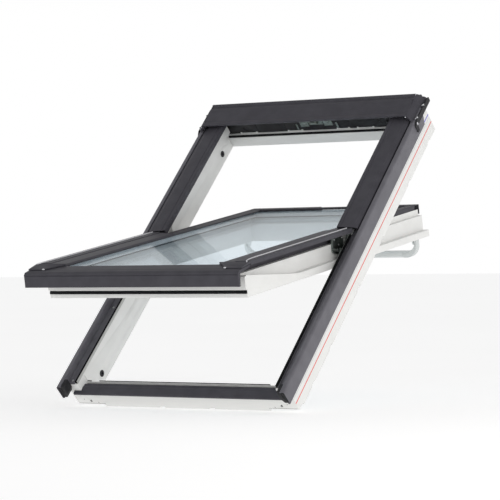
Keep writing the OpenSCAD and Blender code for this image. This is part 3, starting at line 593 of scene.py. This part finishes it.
# White upstand with a rubber edge, broken by two drain notches.
rim = Shape(ROOF)
RIM_U, NOTCH_IN, NOTCH_OUT, RIM_TOP, NOTCH_TOP = 345, 302.0, 330.0, 68.2, 64.6
for lo, hi, top in ((-RIM_U, -NOTCH_OUT, RIM_TOP), (-NOTCH_OUT, -NOTCH_IN, NOTCH_TOP), (-NOTCH_IN, NOTCH_IN, RIM_TOP),
                    (NOTCH_IN, NOTCH_OUT, NOTCH_TOP), (NOTCH_OUT, RIM_U, RIM_TOP)):
    crown = arc_points((-549.5, top), 1.5, 180, 0, 5)[1:-1]
    rim.along_u([(-551, 60), (-551, top)] + crown + [(-548, top), (-548, 60)], lo, hi)
    if top == RIM_TOP:
        edge = arc_points((-549.5, 69.6), 1.25, 200, -20, 8)
        rim.along_u([(-550.6, 68.4)] + edge + [(-548.4, 68.4)], lo + 0.5, hi - 0.5, mark=1)
settle("draught_rim", rim, [white_plastic, rubber], "frame", ("bottom_draught_strip",))
for side in ("right", "left"):
    eased(side + "_corner_block", 0.7, black_plastic)

# Plugs of the fixing holes in the bottom rail's outer face: each one's u, height and radius.
plugs = Shape(ROOF)
for s in (-1, 1):
    for u, w, r in ((337, 22, 3.4), (359, 30, 1.4), (312, 17, 1.4)):
        steps = [(-3, r), (0.25, r), (0.25, 0.5 * r), (-2.5, 0.4 * r)]
        plugs.turned((s * u, -OUT_V, w), (0, -1, 0), steps, sides=16)
settle("fixing_hole_plugs", plugs, black_plastic, "frame")


def corner_fins(shape):
    """Moulded ribs on the outer face of the corner block, round its drain hole."""
    v = -OUT_V - 30.2
    shape.block((387.6, v - 0.9, 84), (389, v + 0.4, 97), 0.4)
    shape.block((394.6, v - 0.9, 76), (396, v + 0.4, 104), 0.4)


on_both("corner_fins", ROOF, corner_fins, black_plastic, "frame")

# ------------------------------------------------------------------ ventilator and lock at the top rail

eased("vent_filter_panel", 0.9, black_plastic)
clips = Shape(ROOF)
for lo, hi in ((-118, -58), (66, 116), (140, 205), (-300, -232)):
    clips.block((lo, PANEL_V - 1.6, STEP_W + 0.2), (hi, PANEL_V, STEP_W + 3.2), 0.6)
    for at in (lo + 4, hi - 4):
        clips.block((at - 3, PANEL_V - 2.4, STEP_W + 0.2), (at + 3, PANEL_V, STEP_W + 6.4), 0.8)
settle("panel_clips", clips, white_plastic, "frame")

# Two plates with a turned stud, a bent rod and a guide, one on each side of the striker.
rods = Shape(ROOF)
for s in (-1, 1):
    rods.block((s * 44 - 16, PANEL_V - 2.2, 66), (s * 44 + 16, PANEL_V, 96), 1.0)
    rods.turned((s * 44, PANEL_V - 2.4, 82), (0, -1, 0), [(0, 8), (1.2, 8), (1.8, 7), (1.2, 5), (1.2, 0.4)])
    rods.tube([(s * 30, PANEL_V - 3.2, 70), (s * 52, PANEL_V - 3.2, 79), (s * 60, PANEL_V - 3.2, 93)], 1.5)
    rods.block((s * 74 - 3, PANEL_V - 2.6, 52), (s * 74 + 3, PANEL_V, 78), 0.8)
settle("lock_linkage", rods, zinc_steel, "frame")
eased("lock_striker", 0.6, zinc_steel)

# ------------------------------------------------------------------ covers of the sash

front_path = [(-607, 81), (-FRONT_V, 81), (-FRONT_V, 113.4), (-616.4, 115.2), (-618.4, 117.4), (-616.4, 121.6),
              (-609, 125.6), (-597, 128.6), (-594.2, 126.6), (-591.4, 128.3), (-557, 133), (-553, 133.3)]
front_fold = folded(front_path, -SHEET, [0, 2.2, 1.2, 0.9, 1.4, 1.6, 2.4, 1.2, 0.9, 0.9, 1.4, 0])
front = Shape(SASH).along_u(front_fold, -COVER_U + SHEET, COVER_U - SHEET)
web = rounded([(-FRONT_V, 81), (-612, 81), (-608, 117), (-560, 125.5),
               (-553, 132.8), (-595, 128), (-613.6, 124.6), (-FRONT_V, 119)], [1, 2, 4, 1, 1, 1, 2, 2], closed=True)
for s in (-1, 1):
    front.along_u(web, *sorted((s * (COVER_U - SHEET), s * COVER_U)))
# A black channel under the cover carries the bottom edge of the panes.
for v0, v1, top in ((-544.5, -539.6, 105), (-557, -552, 131.6), (-552, -544.5, 101)):
    front.block((-295, v0, 98), (295, v1, top), 0.5, mark=1)
settle("front_cover_sheet", front, [dark_sheet, black_plastic], "sash", ("sash_bottom_cover",))

lower_fold = folded([(268, 130.4), (268, 134.2), (274.6, 138), (318.4, 140.9), (320, 139.5), (321.8, 139.6),
                     (323.6, 142.4), (345, 142.5), (COVER_U, COVER_TOP), (COVER_U, 130)],
                    -SHEET, [0, 1.2, 2, 0.8, 0.8, 0.8, 0.9, 0, 2, 0])
TIP_V = 550.5  # where the fold of the lower cover meets its sloping tip
TIP = [(268.6, -TIP_V), (283, -562.5), (314.5, -594.8), (319, -597.4), (369.5, -597.4), (371.8, -595), (371.8, -TIP_V)]


def lower_cover(shape):
    """Folded cover of the lower half of a stile, with a tip that falls towards the front and a bead painted pale as a
    highlight.
    """
    shape.along_v(lower_fold, -TIP_V, MEET_V)
    shape.block((BEAD_U - 2.5, -539.5, 104), (BEAD_U, MEET_V, 139.4), 0.3)
    low = [(u, v, 129.2 + (v + 597.5) * 0.125) for u, v in TIP]
    high = [(u, v, 131.8 + (v + 597.5) * (0.215 if u > 321 else 0.17)) for u, v in TIP]
    shape.loft([low, [(u, v, w - 0.5) for u, v, w in high], [(u + (320 - u) * 0.008, v + 0.5, w) for u, v, w in high]])
    inset = [(u + (330 - u) * 0.03, v + 2.5, w) for u, v, w in low]
    shape.loft([[(u, v, 128.9) for u, v, w in inset], [(u, v, w + 0.2) for u, v, w in inset]], mark=1)
    # The block at the tip and the bead line take finish 2, the pale bead finish: a painted highlight.
    shape.block((312, -598.6, 129.4), (320, -594, 133.2), 1.0, mark=2)
    line = [(366, -560, 141.6), (359, -549, 142.6), (354.5, -532, 143.2), (352.6, -510, 143.4), (352, -480, 143.4),
            (352, MEET_V - 1, 143.4)]
    shape.tube(line, 2.0, mark=2)


on_both("lower_cover_sheet", SASH, lower_cover, [dark_sheet, black_plastic, bead_painted_highlight], "sash",
        "sash_{}_lower_cover")

BEAD_SHEET = 2.0  # the glazing beads are thicker
bead_fold = folded([(268, 130.4), (268, 133.4), (293, 136.4), (294.6, 135.4), (296.4, 135.5), (298, 136.9),
                    (BEAD_U, 136.9), (BEAD_U, 104.2)], -BEAD_SHEET, [0, 1.2, 0.8, 0.8, 0.8, 0.8, 1.6, 0])
on_both("bead_sheet", SASH, lambda s: s.along_v(bead_fold, MEET_V + 0.5, 523), dark_sheet, "sash", "sash_{}_bead")

# The top bead is cut back in the middle, clear of the lock.
top_path = [(523.5, 130.4), (523.5, 134.4), (528, 136.8)]
full = folded(top_path + [(TOP_BEAD_V, 136.8), (TOP_BEAD_V, 106.2)], -BEAD_SHEET, [0, 1.4, 2, 2, 0])
short = folded(top_path + [(538.8, 136.8)], -BEAD_SHEET, [0, 1.4, 2, 0])
top_bead = Shape(SASH).along_u(full, -BEAD_U, -50).along_u(short, -50, 50).along_u(full, 50, BEAD_U)
for s in (-1, 1):
    top_bead.block((s * 180 - 110, 536.6, 104), (s * 180 + 110, 552, 106.4), 0.4)
settle("top_bead_sheet", top_bead, dark_sheet, "sash", ("sash_top_bead",))

# ------------------------------------------------------------------ timber

for node in ("frame_bottom_rail", "frame_top_rail", "frame_left_jamb", "frame_right_jamb"):
    eased(node, 1.0, marked_and_shaded_coat)
for node in ("sash_bottom_rail", "sash_top_rail", "sash_left_stile", "sash_right_stile"):
    eased(node, 1.4, white_coat, steps=3)


def lip_wedge(shape):
    """The deeper part of a stile's room-side lip, towards the bottom corner."""
    shape.along_u([(-539.5, 56), (-539.5, 100), (-470, 89.5), (-400, 78), (-320, 65.5), (-250, 56)], 325.5, LIP_U)


on_both("stile_lip", SASH, lip_wedge, white_coat, "sash")


def milled_step(shape):
    """A shallow step milled in the inner face of the jamb, which follows the lip of the shut sash."""
    line = ((-547, 93), (-500, 87), (-440, 79.5), (-380, 72), (-320, 64.5), (-270, 59), (-225, 56.5), (-160, 56),
            (-90, 56))
    sunk, proud = IN_U + 0.2, IN_U - 2.2
    shape.loft([[(sunk, v, 41), (proud, v, 43.5), (proud, v, top - 5), (sunk, v, top)] for v, top in line])


on_both("jamb_step", ROOF, milled_step, white_coat, "frame")
liner = [(BEAD_U + 0.3, 103.9), (BEAD_U + 0.3, 122), (311, 122), (311.4, 121.6), (311.4, 103.9)]
on_both("stile_liner", SASH, lambda s: s.along_v(liner, 24, 539), white_coat, "sash")

# Room-side lip of the bottom rail, and the seal over it.
rail_lip = Shape(SASH)
rail_lip.along_u([(-539.4, 60), (-539.4, 97), (-545.5, 97), (-546.5, 95), (-546.5, 61), (-545.5, 60)], -345, 345)
rail_lip.along_u([(-539.4, 41), (-539.4, 47.6), (-540.2, 47.2), (-540.2, 41.4)], -344, 344)
settle("bottom_rail_lip", rail_lip, white_coat, "sash")
bulge = [(-539.4, 57), (-541.4, 57), (-543, 52.5), (-541.4, 48)]
lip_seal = Shape(SASH).along_u([(-536, 44.3), (-536, 50.7), (-539.4, 50.7)] + bulge + [(-539.4, 48), (-539.4, 44.3)],
                               -SEAL_U, SEAL_U)
for s in (-1, 1):
    lip_seal.along_u([(-539.4, 48)] + bulge, *sorted((s * SEAL_U, s * 344)))
settle("bottom_lip_seal", lip_seal, rubber, "sash", ("sash_bottom_gasket",))

# ------------------------------------------------------------------ hinges, lock and control bar

for side in ("right", "left"):
    eased(side + "_frame_hinge_plate", 0.5, zinc_steel)
    eased(side + "_sash_hinge_plate", 0.6, zinc_steel)
    eased(side + "_hinge_link", 0.5, zinc_steel)
    eased("bar_" + side + "_end_cap", 1.6, bar_metal, steps=3)
for node, width, finish in (
    ("control_bar", 1.0, bar_metal), ("bar_brackets", 0.8, bar_metal), ("lock_case", 0.6, zinc_steel),
    ("latch_claw", 0.5, bright_steel), ("vent_flap", 0.5, white_plastic), ("bolt_bushes", 0.4, black_plastic),
    ("barrel_bolt", 0.6, bright_steel),
):
    eased(node, width, finish)


def screw(shape, centre, axis, radius, height):
    """A pan head with its driver recess."""
    shape.turned(centre, axis, [(0, radius), (height * 0.45, radius), (height * 0.8, radius * 0.82),
                                (height, radius * 0.55), (height, radius * 0.42), (height * 0.3, radius * 0.34)])


PLATE_U, CHANNEL_MID_U = 331, 373  # face of the sash's hinge plate, middle of the screw channel
plate_screws = Shape(SASH)
side_screws = Shape(ROOF)
for s in (-1, 1):
    for v, drop in ((-22, 22), (0, 40), (22, 22)):
        screw(plate_screws, (s * PLATE_U, v, AXIS_HEIGHT - drop), (s, 0, 0), radius=3.6, height=1.8)
    for v in (-575, -274, -40):
        screw(side_screws, (s * CHANNEL_MID_U, v, CHANNEL_FLOOR), (0, 0, 1), radius=4.0, height=2.2)
    for v in (569, 511):
        screw(side_screws, (s * HOOD_END_U, v, CLAD_TOP + 2), (s, 0, 0), radius=3.5, height=2.0)
settle("plate_screws", plate_screws, bright_steel, "sash", ("hinge_screws",))
settle("side_screws", side_screws, bright_steel, "frame", ("cladding_screws",))

# ------------------------------------------------------------------ table top

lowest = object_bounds()[0].z
floor_mesh = bpy.data.meshes.new("floor")
corners = [(x, y, lowest - FLOOR_DROP) for x, y in ((-1, -1), (1, -1), (1, 1), (-1, 1))]
floor_mesh.from_pydata(corners, [], [(0, 1, 2, 3)])
floor_mesh.transform(Matrix.Diagonal((FLOOR_HALF, FLOOR_HALF, 1, 1)))
floor = bpy.data.objects.new("floor", floor_mesh)
bpy.context.scene.collection.objects.link(floor)
# Opal acrylic table top, lit from beneath: matt white with a soft glow.
opal = surface("opal_acrylic_table", ("FFFFFF", "FDFDFD"), 900, 200, 0.0, (0.8, 0.9), Specular_IOR_Level=0.0,
               Emission_Color=tone("FFFFFF"), Emission_Strength=TABLE_GLOW)
floor_mesh.materials.append(opal)
